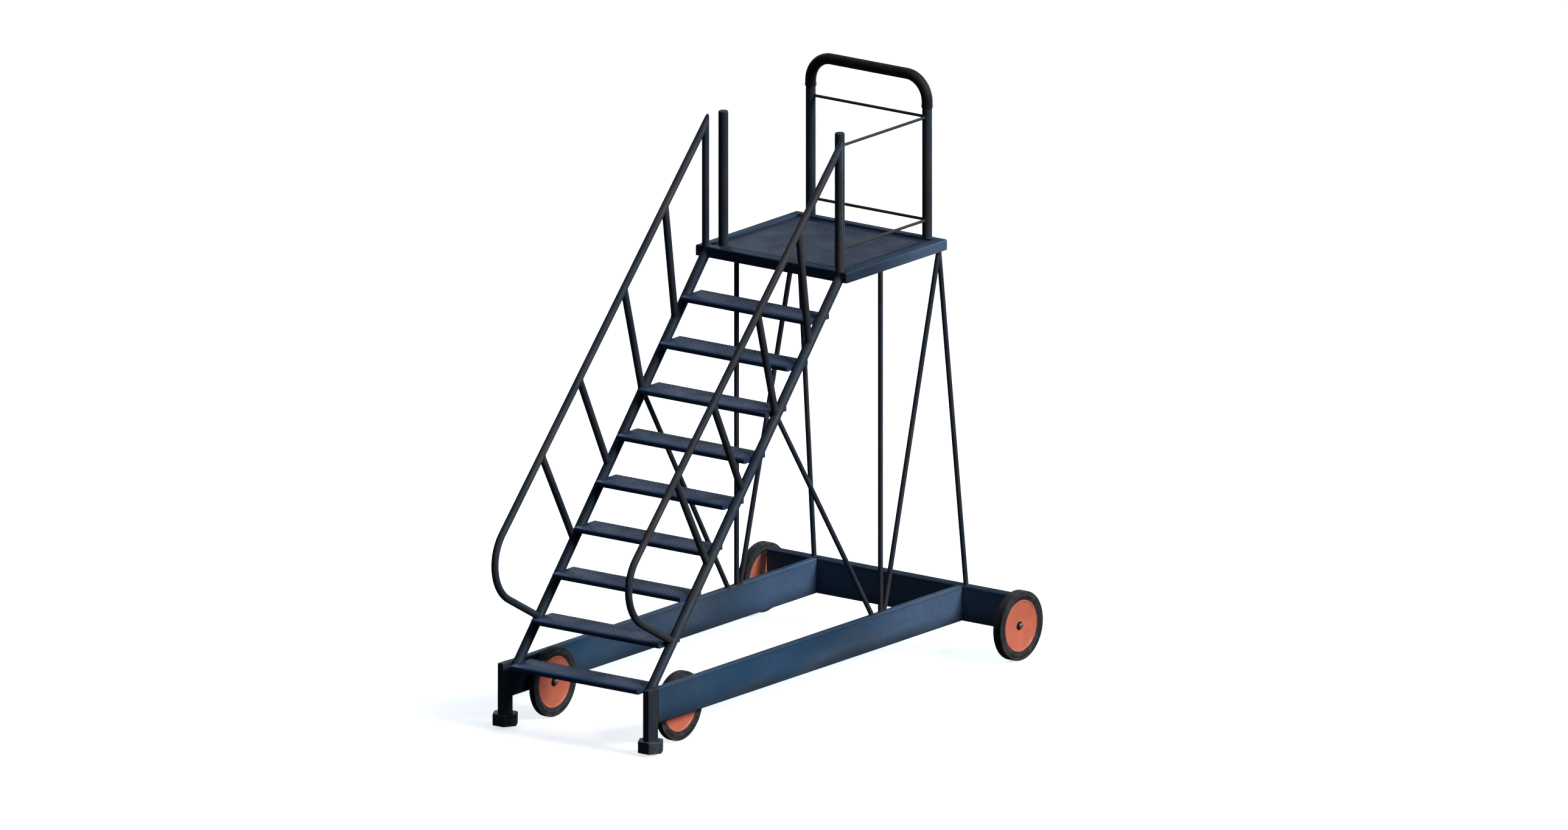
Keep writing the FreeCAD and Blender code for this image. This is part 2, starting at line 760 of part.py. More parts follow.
save("rear_cross_beam", rear_cross_beam())
save("platform_frame", platform_frame())
save("platform_deck", platform_deck())
save("rear_hoop", rear_hoop())
save("hoop_grip", hoop_grip())
save("guard_rods", *guard_rods())
for number in range(1, tread_count + 1):
    save("tread_%d" % number, tread(number))

rear_clips = []
for name, side in SIDES.items():
    save("side_beam_" + name, hollow_section(*side_beam_place(side)))
    save("front_leg_" + name, front_leg(side))
    save("rubber_foot_" + name, rubber_foot(side))
    save("stringer_" + name, stringer(side))
    save("front_post_" + name, front_post(side))
    save("handrail_" + name, handrail(side))
    save("handrail_uprights_" + name, *handrail_uprights(side))
    save("upright_brace_" + name, upright_brace(side))
    save("stringer_brace_" + name, stringer_brace(side))
    save("platform_brace_" + name, platform_brace(side))
    save("rear_prop_" + name, rear_prop(side))
    save("rear_axle_" + name,
         axle(rear_axle_station, axle_root_y, cross_beam_half,
              rear_wheel_y, 1, side))
    rear_clips.extend(axle_clips(rear_axle_station, rear_wheel_y, 1, side))
    save("front_axle_carrier_" + name, front_carrier(side))
    save("axle_guide_" + name, axle_guide(side))
    save("suspension_springs_" + name, *suspension_springs(side))
    save("front_axle_clips_" + name, *axle_clips(front_axle_station, front_wheel_y, -1, side))
    for end, station, wheel_y, free_side in (("rear", rear_axle_station, rear_wheel_y, 1),
                                             ("front", front_axle_station, front_wheel_y, -1)):
        place = (station, free_side * wheel_y, free_side * side)
        half = tyre_halves[end]
        save("%s_tyre_%s" % (end, name), tyre(*place, half))
        save("%s_wheel_disc_%s" % (end, name), wheel_disc(*place, half))
        save("%s_hub_bush_%s" % (end, name), hub_bush(*place))
save("rear_axle_clips", *rear_clips)

print("nodes", len(checks), "middle station %.2f" % middle_station)
for name, (count, valid, volume) in sorted(checks.items()):
    print("%-28s solids %d valid %s volume %.0f" % (name, count, valid, volume))
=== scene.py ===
"""Looks of the mobile platform steps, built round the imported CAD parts.

Metres, in the frame of the CAD model: +X runs up the stairs towards the rear, +Y is the
climber's left and +Z is up. Every mesh that is made here lies in that frame, with its object
at the origin, so that one material runs on unbroken from a CAD part to what is added to it.
"""
import bmesh
import bpy
import json
import math
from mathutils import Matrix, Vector, noise
from mathutils.bvhtree import BVHTree


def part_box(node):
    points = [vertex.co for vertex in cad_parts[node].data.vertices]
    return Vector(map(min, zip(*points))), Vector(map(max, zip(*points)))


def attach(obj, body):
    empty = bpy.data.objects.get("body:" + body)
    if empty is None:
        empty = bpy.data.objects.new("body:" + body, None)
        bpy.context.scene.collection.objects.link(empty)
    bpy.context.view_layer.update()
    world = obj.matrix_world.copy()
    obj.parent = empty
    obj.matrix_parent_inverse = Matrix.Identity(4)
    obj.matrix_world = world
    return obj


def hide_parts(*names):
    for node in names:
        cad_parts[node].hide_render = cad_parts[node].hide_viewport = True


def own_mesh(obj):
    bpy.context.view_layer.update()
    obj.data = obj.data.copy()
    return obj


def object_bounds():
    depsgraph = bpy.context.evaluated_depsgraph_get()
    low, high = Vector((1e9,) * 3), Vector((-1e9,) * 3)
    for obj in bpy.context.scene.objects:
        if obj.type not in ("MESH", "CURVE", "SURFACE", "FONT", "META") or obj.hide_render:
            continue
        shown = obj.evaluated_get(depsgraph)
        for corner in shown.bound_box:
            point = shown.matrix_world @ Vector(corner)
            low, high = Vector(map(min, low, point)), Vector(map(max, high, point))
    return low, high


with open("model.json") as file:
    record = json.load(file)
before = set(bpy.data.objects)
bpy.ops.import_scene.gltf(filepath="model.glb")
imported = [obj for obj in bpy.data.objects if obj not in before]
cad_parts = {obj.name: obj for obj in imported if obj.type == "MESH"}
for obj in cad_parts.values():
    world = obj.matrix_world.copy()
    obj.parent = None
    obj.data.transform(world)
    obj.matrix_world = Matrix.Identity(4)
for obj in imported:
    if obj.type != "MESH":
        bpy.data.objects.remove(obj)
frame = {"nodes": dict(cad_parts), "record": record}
cad_low, cad_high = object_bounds()

SIDES = ("right", "left")
ENDS = ("front", "rear")
nodes = frame["nodes"]
slot_of = {part["node"]: part["material_slot"] for part in frame["record"]["subparts"]}


# ---------------------------------------------------------------- materials
class Finish:
    """A node material, with short calls for the nodes that feed its Principled BSDF."""

    def __init__(self, slot):
        self.material = bpy.data.materials.new(slot)
        self.material.use_nodes = True
        self.tree = self.material.node_tree
        self.surface = self.tree.nodes["Principled BSDF"]
        self.point = self.node("ShaderNodeTexCoord").outputs["Object"]

    def node(self, kind, **settings):
        """A new node with some of its settings changed."""
        made = self.tree.nodes.new(kind)
        for name, value in settings.items():
            setattr(made, name, value)
        return made

    def feed(self, socket, value):
        """Join a socket to another node's output, or give it a plain value."""
        if isinstance(value, bpy.types.NodeSocket):
            self.tree.links.new(value, socket)
        else:
            socket.default_value = value

    def noise(self, per_metre, detail=4.0, stretch=(1.0, 1.0, 1.0)):
        """Cloudy noise between 0 and 1, with so many clouds to a metre."""
        mapping = self.node("ShaderNodeMapping")
        self.feed(mapping.inputs["Vector"], self.point)
        mapping.inputs["Scale"].default_value = stretch
        texture = self.node("ShaderNodeTexNoise")
        self.feed(texture.inputs["Vector"], mapping.outputs["Vector"])
        texture.inputs["Scale"].default_value = per_metre
        texture.inputs["Detail"].default_value = detail
        return texture.outputs["Fac"]

    def ramp(self, value, start, end, low=0.0, high=1.0):
        """A value's stretch from start to end, drawn out to run from low to high."""
        ranger = self.node("ShaderNodeMapRange", interpolation_type="SMOOTHSTEP")
        self.feed(ranger.inputs["Value"], value)
        for name, limit in (("From Min", start), ("From Max", end), ("To Min", low), ("To Max", high)):
            ranger.inputs[name].default_value = limit
        return ranger.outputs["Result"]

    def math(self, operation, first, second):
        """Arithmetic on two values."""
        made = self.node("ShaderNodeMath", operation=operation)
        self.feed(made.inputs[0], first)
        self.feed(made.inputs[1], second)
        return made.outputs["Value"]

    def mix(self, factor, first, second):
        """A colour between two colours."""
        made = self.node("ShaderNodeMix", data_type="RGBA")
        self.feed(made.inputs[0], factor)
        self.feed(made.inputs[6], first)
        self.feed(made.inputs[7], second)
        return made.outputs[2]

    def edges(self, width):
        """1 along the outer edges of the shape and 0 on its flat faces."""
        rounded = self.node("ShaderNodeBevel", samples=4)
        rounded.inputs["Radius"].default_value = width
        plain = self.node("ShaderNodeNewGeometry")
        dot = self.node("ShaderNodeVectorMath", operation="DOT_PRODUCT")
        self.feed(dot.inputs[0], rounded.outputs["Normal"])
        self.feed(dot.inputs[1], plain.outputs["Normal"])
        return self.ramp(dot.outputs["Value"], 0.985, 0.82)

    def upward(self):
        """1 on faces that look up and 0 on upright ones."""
        geometry = self.node("ShaderNodeNewGeometry")
        split = self.node("ShaderNodeSeparateXYZ")
        self.feed(split.inputs["Vector"], geometry.outputs["Normal"])
        return self.ramp(split.outputs["Z"], 0.35, 0.95)

    def height(self, low, high):
        """1 at the first height above the floor and 0 at the second one."""
        split = self.node("ShaderNodeSeparateXYZ")
        self.feed(split.inputs["Vector"], self.point)
        return self.ramp(split.outputs["Z"], high, low)

    def along(self, start, end):
        """0 at the first station along x and 1 at the second one."""
        split = self.node("ShaderNodeSeparateXYZ")
        self.feed(split.inputs["Vector"], self.point)
        return self.ramp(split.outputs["X"], start, end)

    def bump(self, *layers):
        """Relief from (height, depth in metres) layers, the coarsest first."""
        normal = None
        for height, depth in layers:
            made = self.node("ShaderNodeBump")
            made.inputs["Distance"].default_value = depth
            self.feed(made.inputs["Height"], height)
            if normal:
                self.feed(made.inputs["Normal"], normal)
            normal = made.outputs["Normal"]
        self.feed(self.surface.inputs["Normal"], normal)

    def rubbed_tops(self):
        """1 on the tops of raised studs, which feet rub bright and which carry a painted sheen, and 0
        everywhere else.
        """
        return self.node("ShaderNodeAttribute", attribute_name="rubbed").outputs["Fac"]

    def done(self, colour, roughness, metallic=0.0, shine=0.3):
        """Feed the surface, and hand over the material."""
        self.feed(self.surface.inputs["Base Color"], colour)
        self.feed(self.surface.inputs["Roughness"], roughness)
        self.feed(self.surface.inputs["Metallic"], metallic)
        self.feed(self.surface.inputs["Specular IOR Level"], shine)
        return self.material


def scaled(colour, share, lift=0.0):
    """A colour times a share, plus the same lift in each channel."""
    return tuple(share * part + lift for part in colour[:3]) + (1.0,)


dust_grey = (0.105, 0.105, 0.105, 1.0)
bare_edge = (0.13, 0.105, 0.095, 1.0)
# Stud tops: paint rubbed off by feet, and a painted sheen.
worn_and_sheen_stud = (0.185, 0.185, 0.220, 1.0)
# Width of the step from the painted light to the painted shade at the last x.
painted_shade_step = 0.01
top_shine = 0.55


def enamel(slot, blue, grey, roughness=0.42, shine=0.3, dust=0.2, wear=0.5, painted_edge_shade=None,
           painted_rear_light=None):
    """Satin enamel: it drifts from blue to grey, gathers dust and is worn along its edges.

    Painted shade along a beam's bottom and top edges, darker along both, is given as (lowest height, highest
    height, depth).
    A painted pool of light towards the rear is given as (start x, end x, last x, pale colour, share): the
    paint is lit pale from start to end, is darkened by that share as painted shade before it, and is dark
    with painted shade beyond the last x.
    """
    finish = Finish(slot)
    drift = finish.ramp(finish.noise(0.9, 2.0, (0.8, 1.0, 2.2)), 0.38, 0.62)
    colour = finish.mix(drift, blue, grey)
    shade = finish.ramp(finish.noise(2.6, 3.0, (0.35, 1.0, 1.6)), 0.40, 0.66, 0.0, 0.45)
    colour = finish.mix(shade, colour, scaled(blue, 0.45))
    # Painted light and shade along x: a pool of light painted pale towards the rear, weaker on top faces,
    # with painted shade before it and beyond the last x.
    if painted_rear_light:
        start, end, last, pale, share = painted_rear_light
        painted_light_share = finish.math("MULTIPLY", finish.along(start, end), finish.along(last + painted_shade_step, last))
        painted_light_share = finish.math("MULTIPLY", painted_light_share, finish.ramp(finish.noise(1.7, 2.0), 0.3, 0.7, 0.7, 1.0))
        painted_light_share = finish.math("MULTIPLY", painted_light_share, finish.ramp(finish.upward(), 1.0, 0.0, 0.25, 1.0))
        colour = finish.mix(painted_light_share, finish.mix(share, colour, scaled(blue, 0.3)), pale)
        colour = finish.mix(finish.along(last, last + painted_shade_step), colour, scaled(blue, 0.2))
    # Painted shade: darker along the beam's bottom edge and, half as strong, along its top edge.
    if painted_edge_shade:
        low, high, depth = painted_edge_shade
        edge = finish.math("MAXIMUM", finish.height(low, low + depth),
                           finish.math("MULTIPLY", finish.height(high, high - 0.4 * depth), 0.5))
        edge = finish.math("MULTIPLY", edge, finish.ramp(finish.noise(3.0, 3.0), 0.3, 0.7, 0.45, 0.95))
        colour = finish.mix(edge, colour, scaled(grey, 0.22))
    mottle = finish.ramp(finish.noise(26.0, 5.0), 0.35, 0.7, 0.0, 0.16)
    colour = finish.mix(mottle, colour, scaled(blue, 0.6))
    settled = finish.math("MULTIPLY", finish.upward(), finish.ramp(finish.noise(9.0, 7.0), 0.4, 0.7))
    splashed = finish.math("MULTIPLY", finish.height(0.18, 0.45),
                           finish.ramp(finish.noise(6.0, 5.0), 0.45, 0.75))
    grime = finish.math("MULTIPLY", finish.math("MAXIMUM", settled, splashed), dust)
    colour = finish.mix(grime, colour, dust_grey)
    scratches = finish.ramp(finish.noise(60.0, 6.0, (1.0, 1.0, 0.12)), 0.68, 0.74, 0.0, 0.3)
    colour = finish.mix(scratches, colour, scaled(grey, 1.4, 0.02))
    rubbed = finish.math("MULTIPLY", finish.edges(0.004), finish.ramp(finish.noise(27.0, 7.0), 0.4, 0.62))
    rubbed = finish.math("MULTIPLY", rubbed, wear)
    colour = finish.mix(rubbed, colour, bare_edge)
    # Stud tops painted lighter: rubbed paint, and a painted sheen.
    tops = finish.ramp(finish.noise(5.0, 4.0), 0.32, 0.66, 0.45, 1.0)
    stud_wear_and_sheen = finish.math("MULTIPLY", finish.rubbed_tops(), tops)
    colour = finish.mix(stud_wear_and_sheen, colour, worn_and_sheen_stud)
    gloss = finish.ramp(finish.noise(7.0, 4.0), 0.3, 0.7, roughness - 0.06, roughness + 0.10)
    gloss = finish.math("ADD", gloss, finish.math("MULTIPLY", grime, 0.45))
    finish.bump((finish.noise(5.0, 2.0), 0.0015), (finish.noise(420.0, 2.0), 0.0002))
    dulled = finish.ramp(finish.upward(), 0.0, 1.0, shine, top_shine * shine)
    return finish.done(colour, gloss, shine=dulled)


def rubber(slot, colour, grey, roughness=0.72, grain=900.0, relief=0.0004):
    """Moulded rubber: matt, grainy, greyer where it is scuffed."""
    finish = Finish(slot)
    scuffed = finish.ramp(finish.noise(24.0, 7.0), 0.42, 0.7)
    result = finish.mix(scuffed, colour, grey)
    fine = finish.noise(grain, 3.0)
    result = finish.mix(finish.ramp(fine, 0.35, 0.65, 0.0, 0.4), result, scaled(colour, 0.5))
    worn = finish.math("MULTIPLY", finish.edges(0.003),
                       finish.ramp(finish.noise(60.0, 5.0), 0.4, 0.65, 0.0, 0.6))
    result = finish.mix(worn, result, scaled(grey, 1.5))
    finish.bump((finish.noise(60.0, 5.0), 0.0006), (fine, relief))
    return finish.done(result, finish.ramp(scuffed, 0.0, 1.0, roughness - 0.08, roughness + 0.1), shine=0.25)


def steel(slot, colour, dark, roughness=0.34):
    """Turned steel with fine rings round the y direction and a little tarnish."""
    finish = Finish(slot)
    rings = finish.noise(240.0, 4.0, (0.08, 1.0, 0.08))
    tarnish = finish.ramp(finish.noise(45.0, 7.0), 0.42, 0.7, 0.0, 0.8)
    result = finish.mix(tarnish, colour, dark)
    gloss = finish.ramp(rings, 0.3, 0.7, roughness - 0.08, roughness + 0.14)
    finish.bump((rings, 0.0002), (finish.noise(500.0, 3.0), 0.00008))
    return finish.done(result, gloss, metallic=finish.ramp(tarnish, 0.0, 0.8, 0.95, 0.5))


def nylon(slot, colour, deep, roughness=0.42):
    """Moulded nylon: a faint mottle and rolling scratches."""
    finish = Finish(slot)
    cloud = finish.ramp(finish.noise(13.0, 5.0), 0.35, 0.68, 0.0, 0.75)
    result = finish.mix(cloud, colour, deep)
    scratches = finish.ramp(finish.noise(95.0, 8.0, (1.0, 0.3, 1.0)), 0.64, 0.72, 0.0, 0.3)
    result = finish.mix(scratches, result, scaled(deep, 0.6))
    # Painted highlight along the disc's edges.
    painted_rim_highlight = finish.math("MULTIPLY", finish.edges(0.004), 0.35)
    result = finish.mix(painted_rim_highlight, result, scaled(colour, 0.8, 0.2))
    finish.bump((finish.noise(18.0, 3.0), 0.0015), (finish.noise(650.0, 3.0), 0.0001))
    finish.surface.inputs["Subsurface Weight"].default_value = 0.05
    finish.surface.inputs["Subsurface Scale"].default_value = 0.004
    return finish.done(result, finish.ramp(cloud, 0.0, 0.75, roughness - 0.06, roughness + 0.1))


navy = (0.028, 0.080, 0.158, 1)
slate = (0.080, 0.112, 0.162, 1)
charcoal = (0.050, 0.048, 0.054, 1)
night = (0.030, 0.040, 0.056, 1)
beam_low, beam_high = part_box("side_beam_right")
# These paints stand for one navy enamel: the colours differ from slot to slot as painted light and shade,
# lightest on the side beams, which face the light, and darker and greyer on the leg, stairs, tubes, guides
# and deck.
finishes = {
    "base_paint": enamel("base_paint", navy, slate, 0.42, 0.3, 0.08, 0.3,
                         # Painted shade along the beams' bottom and top edges.
                         painted_edge_shade=(beam_low.z, beam_high.z, 0.095),
                         # Painted light towards the rear of the base, and painted shade beyond the beams'
                         # rear ends.
                         painted_rear_light=(0.5, 1.1, beam_high.x - 0.002, (0.080, 0.135, 0.235, 1), 0.0)),
    "leg_paint": enamel("leg_paint", (0.024, 0.034, 0.052, 1), (0.046, 0.052, 0.066, 1), 0.45),
    "stair_paint": enamel("stair_paint", (0.026, 0.046, 0.076, 1), (0.042, 0.048, 0.060, 1), 0.5, 0.2),
    "tread_paint": enamel("tread_paint", (0.020, 0.050, 0.112, 1), (0.030, 0.056, 0.104, 1),
                          0.46, 0.25, 0.08),
    "platform_paint": enamel("platform_paint", (0.014, 0.046, 0.096, 1), (0.052, 0.082, 0.126, 1),
                             0.42, 0.3, 0.1,
                             # Painted light towards the rear of the platform, with painted shade darkening
                             # it before that.
                             painted_rear_light=(0.5, 1.2, cad_high.x, (0.085, 0.130, 0.200, 1), 0.6)),
    "deck_paint": enamel("deck_paint", (0.010, 0.026, 0.052, 1), (0.020, 0.032, 0.054, 1), 0.5, 0.22, 0.06),
    "rail_paint": enamel("rail_paint", night, charcoal, 0.56, 0.18, 0.2),
    "rod_paint": enamel("rod_paint", (0.042, 0.046, 0.050, 1), (0.060, 0.058, 0.050, 1), 0.5, 0.2, 0.2),
    "brace_paint": enamel("brace_paint", night, charcoal, 0.5, 0.22, 0.3),
    "guide_paint": enamel("guide_paint", night, charcoal, 0.5, 0.25, 0.6),
    "grip_rubber": rubber("grip_rubber", (0.009, 0.009, 0.010, 1), (0.017, 0.017, 0.018, 1), 0.62),
    "foot_rubber": rubber("foot_rubber", (0.040, 0.056, 0.070, 1), (0.082, 0.100, 0.118, 1), 0.5),
    "tyre_rubber": rubber("tyre_rubber", (0.026, 0.026, 0.028, 1), (0.070, 0.069, 0.070, 1),
                          0.8, 300.0, 0.0012),
    "axle_steel": steel("axle_steel", (0.42, 0.44, 0.45, 1), (0.11, 0.115, 0.12, 1)),
    "spring_steel": steel("spring_steel", (0.30, 0.30, 0.31, 1), (0.10, 0.09, 0.08, 1), 0.3),
    "clip_steel": steel("clip_steel", (0.06, 0.06, 0.065, 1), (0.02, 0.02, 0.02, 1), 0.4),
    "wheel_nylon": nylon("wheel_nylon", (0.72, 0.195, 0.118, 1), (0.64, 0.150, 0.084, 1)),
    "bush_nylon": nylon("bush_nylon", (0.40, 0.37, 0.31, 1), (0.30, 0.27, 0.22, 1), 0.5),
}
for name, part in nodes.items():
    for material_slot in part.material_slots:
        material_slot.material = finishes[slot_of[name]]


# ---------------------------------------------------------------- new pieces
def piece(name, vertices, faces, slot, body, crease=50):
    """A mesh of the object: its finish, its body, and smooth shading up to a crease angle."""
    mesh = bpy.data.meshes.new(name)
    mesh.from_pydata(vertices, [], faces)
    mesh.validate()
    made = bmesh.new()
    made.from_mesh(mesh)
    bmesh.ops.recalc_face_normals(made, faces=made.faces)
    made.to_mesh(mesh)
    made.free()
    mesh.shade_smooth()
    mesh.set_sharp_from_angle(angle=math.radians(crease))
    mesh.materials.append(finishes[slot])
    made = bpy.data.objects.new(name, mesh)
    bpy.context.scene.collection.objects.link(made)
    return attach(made, body)


class Patch:
    """Vertices and faces that are gathered from many small shapes into one mesh."""

    def __init__(self):
        self.vertices = []
        self.faces = []
        self.rubbed = []

    def add(self, vertices, faces):
        """Take in one shape, whose faces count its own vertices from 0."""
        first = len(self.vertices)
        self.vertices.extend(vertices)
        self.faces.extend([tuple(first + index for index in face) for face in faces])

    def tube(self, points, radii, around, closed):
        """A round bar along points, with a radius at each; a closed one joins up with itself."""
        count = len(points)
        rings = []
        side = None
        for index, point in enumerate(points):
            before = points[index - 1] if closed or index else point
            after = points[(index + 1) % count] if closed or index + 1 < count else point
            along = (after - before).normalized()
            if side is None:
                side = along.orthogonal().normalized()
            side = (side - along * side.dot(along)).normalized()
            across = along.cross(side)
            for step in range(around):
                turn = 2 * math.pi * step / around
                rings.append(point + (side * math.cos(turn) + across * math.sin(turn)) * radii[index])
        faces = []
        for index in range(count if closed else count - 1):
            low, high = index * around, (index + 1) % count * around
            shift = 0
            if closed and index == count - 1:
                shift = min(range(around), key=lambda s: (rings[low] - rings[high + s]).length)
            for step in range(around):
                following = (step + 1) % around
                faces.append((low + step, low + following,
                              high + (following + shift) % around, high + (step + shift) % around))
        if not closed:
            faces.append(tuple(reversed(range(around))))
            faces.append(tuple(range((count - 1) * around, count * around)))
        self.add(rings, faces)


# ---------------------------------------------------------------- welds
weld_radius = 0.0034
tread_weld = 0.003
guide_weld = 0.003
base_weld = 0.0038
rod_weld = 0.0026
weld_step = 0.0035
weld_sides = 7
weld_end_share = 0.55
shortest_weld = 0.03
weld_spacing = 0.012
touching = 0.0006
same_point = 1e-5
sharp_angle = math.radians(25)
mitre_depth = 0.12


def solid_mesh(node):
    """A CAD node's mesh with the vertices of neighbouring faces joined."""
    made = bmesh.new()
    made.from_mesh(nodes[node].data)
    bmesh.ops.remove_doubles(made, verts=made.verts, dist=same_point)
    return made


def runs(edges):
    """Edges chained into runs of points, each with whether it closes on itself."""
    left = set(edges)
    found = []
    while left:
        edge = min(left, key=lambda item: item.index)
        left.remove(edge)
        chain = [edge.verts[0], edge.verts[1]]
        for end in (-1, 0):
            while True:
                joined = sorted((item for item in chain[end].link_edges if item in left),
                                key=lambda item: item.index)
                if not joined:
                    break
                left.remove(joined[0])
                following = joined[0].other_vert(chain[end])
                chain.insert(len(chain) if end else 0, following)
        closed = chain[0] == chain[-1] and len(chain) > 3
        found.append(([item.co.copy() for item in (chain[:-1] if closed else chain)], closed))
    return found


def length_of(points, closed):
    """The length of a run of points."""
    pairs = zip(points, points[1:] + points[:1] if closed else points[1:])
    return sum((after - before).length for before, after in pairs)


def even_points(points, closed, step):
    """Points at even steps along a run."""
    whole = length_of(points, closed)
    count = max(3, round(whole / step))
    corners = points + points[:1] if closed else points
    result = []
    done, index = 0.0, 0
    for number in range(count if closed else count + 1):
        wanted = whole * number / count
        while index < len(corners) - 2 and done + (corners[index + 1] - corners[index]).length < wanted:
            done += (corners[index + 1] - corners[index]).length
            index += 1
        span = (corners[index + 1] - corners[index]).length or 1.0
        share = min(1.0, (wanted - done) / span)
        result.append(corners[index].lerp(corners[index + 1], share))
    return result


def bead(patch, points, closed, radius=weld_radius):
    """A lumpy bead of weld metal along a run of points."""
    points = even_points(points, closed, weld_step)
    radii = []
    for index, point in enumerate(points):
        lump = noise.noise(point * 160.0)
        ripple = 0.09 * math.cos(2.2 * index)
        radii.append(radius * (1.0 + 0.22 * lump + ripple))
    if not closed:
        radii[0] *= weld_end_share
        radii[-1] *= weld_end_share
    patch.tube(points, radii, weld_sides, closed)


def seams(patch, node, partner, radius=weld_radius, below=math.inf):
    """Beads along a node's sharp edges that lie on its partner's surface, below a height."""
    target = BVHTree.FromObject(nodes[partner], bpy.context.evaluated_depsgraph_get())
    shape = solid_mesh(node)
    edges = []
    for edge in shape.edges:
        sharp = len(edge.link_faces) == 2 and edge.calc_face_angle() > sharp_angle
        sharp = sharp and edge.verts[0].co.z < below
        if sharp and all(target.find_nearest(vertex.co, touching)[0] for vertex in edge.verts):
            edges.append(edge)
    found = [run for run in runs(edges) if length_of(*run) > shortest_weld]
    found.sort(key=lambda run: -length_of(*run))
    kept = []
    for points, closed in found:
        centre = sum(points, Vector()) / len(points)
        if all((centre - other).length > weld_spacing for other in kept):
            kept.append(centre)
            bead(patch, points, closed, radius)
    shape.free()


def circle(centre, radius, count=64):
    """Points round a level circle."""
    return [centre + Vector((math.cos(2 * math.pi * index / count),
                             math.sin(2 * math.pi * index / count), 0)) * radius
            for index in range(count)]


def welds():
    """The beads of every joint, one mesh to each group of parts."""
    stair, rails, braces, base, platform = (Patch() for _ in range(5))
    for side in SIDES:
        stringer = "stringer_" + side
        beam = "side_beam_" + side
        for number in range(1, 10):
            seams(stair, "tread_%d" % number, stringer, tread_weld)
        seams(stair, stringer, beam)
        seams(stair, stringer, "platform_frame")
        seams(rails, "handrail_" + side, stringer)
        seams(rails, "handrail_uprights_" + side, stringer)
        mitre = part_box("handrail_" + side)[1].z - mitre_depth
        seams(rails, "handrail_uprights_" + side, "handrail_" + side, below=mitre)
        seams(platform, "platform_frame", "handrail_uprights_" + side)
        seams(braces, "upright_brace_" + side, beam)
        seams(braces, "upright_brace_" + side, "platform_frame")
        seams(braces, "platform_brace_" + side, beam)
        seams(braces, "platform_brace_" + side, "platform_frame")
        seams(braces, "stringer_brace_" + side, beam)
        seams(braces, "stringer_brace_" + side, stringer)
        seams(braces, "rear_prop_" + side, "rear_cross_beam")
        seams(braces, "rear_prop_" + side, "platform_frame")
        seams(base, beam, "rear_cross_beam", base_weld)
        seams(base, beam, "front_leg_" + side, base_weld)
        seams(base, "axle_guide_" + side, beam, guide_weld)
        low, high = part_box("front_post_" + side)
        middle = (low + high) / 2
        deck_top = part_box("platform_deck")[1].z
        foot = Vector((middle.x, middle.y, deck_top + 0.001))
        bead(rails, circle(foot, (high.x - low.x) / 2), True)
        seams(rails, "guard_rods", "rear_hoop", rod_weld)
        seams(rails, "guard_rods", "front_post_" + side, rod_weld)
    seams(rails, "rear_hoop", "platform_frame")
    for name, patch, slot in (("welds_stair", stair, "stair_paint"), ("welds_rails", rails, "rail_paint"),
                              ("welds_braces", braces, "brace_paint"), ("welds_base", base, "base_paint"),
                              ("welds_platform", platform, "platform_paint")):
        piece(name, patch.vertices, patch.faces, slot, "frame")


welds()


# ---------------------------------------------------------------- anti-slip pattern
stud_length = 0.0205
stud_width = 0.0062
stud_height = 0.0014
stud_pitch = 0.0170
stud_sink = 0.0004
stud_top_share = 0.7
stud_outline = ((0.5, 0.0), (0.22, 0.42), (-0.22, 0.42), (-0.5, 0.0), (-0.22, -0.42), (0.22, -0.42))
stud_crease = 20
tread_nose_margin = 0.026
tread_rear_margin = 0.012
tread_end_margin = 0.038
deck_margin = 0.052
post_clearance = 0.052


def studs(patch, low, high, top, blocked=()):
    """Raised studs over a rectangle, turned one way and then the other, outside blocked circles."""
    rows = int((high.x - low.x) / stud_pitch)
    columns = int((high.y - low.y) / stud_pitch)
    start = Vector((low.x + high.x - (rows - 1) * stud_pitch,
                    low.y + high.y - (columns - 1) * stud_pitch)) / 2
    for row in range(rows):
        for column in range(columns):
            centre = Vector((start.x + row * stud_pitch, start.y + column * stud_pitch, top))
            if all((centre.xy - spot).length > reach for spot, reach in blocked):
                stud(patch, centre, (row + column) % 2)


def stud(patch, centre, turned):
    """One pointed, flat-topped stud on a diagonal of the plate, sunk a little into it."""
    along = Vector((1, -1 if turned else 1, 0)).normalized()
    across = Vector((-along.y, along.x, 0))
    vertices = []
    for level, size in ((-stud_sink, 1.0), (stud_height, stud_top_share)):
        for length, width in stud_outline:
            vertices.append(centre + along * length * stud_length * size
                            + across * width * stud_width * size + Vector((0, 0, level)))
    count = len(stud_outline)
    faces = [(index, (index + 1) % count, count + (index + 1) % count, count + index)
             for index in range(count)]
    faces.append(tuple(range(count, 2 * count)))
    faces.append(tuple(reversed(range(count))))
    patch.add(vertices, faces)
    patch.rubbed.extend([0.0] * count + [1.0] * count)


def patterned_piece(name, patch, slot):
    """The mesh of all studs of one plate, with their tops marked for rubbed paint and a painted sheen."""
    made = piece(name, patch.vertices, patch.faces, slot, "frame", stud_crease)
    marks = made.data.attributes.new("rubbed", "FLOAT", "POINT")
    marks.data.foreach_set("value", patch.rubbed)


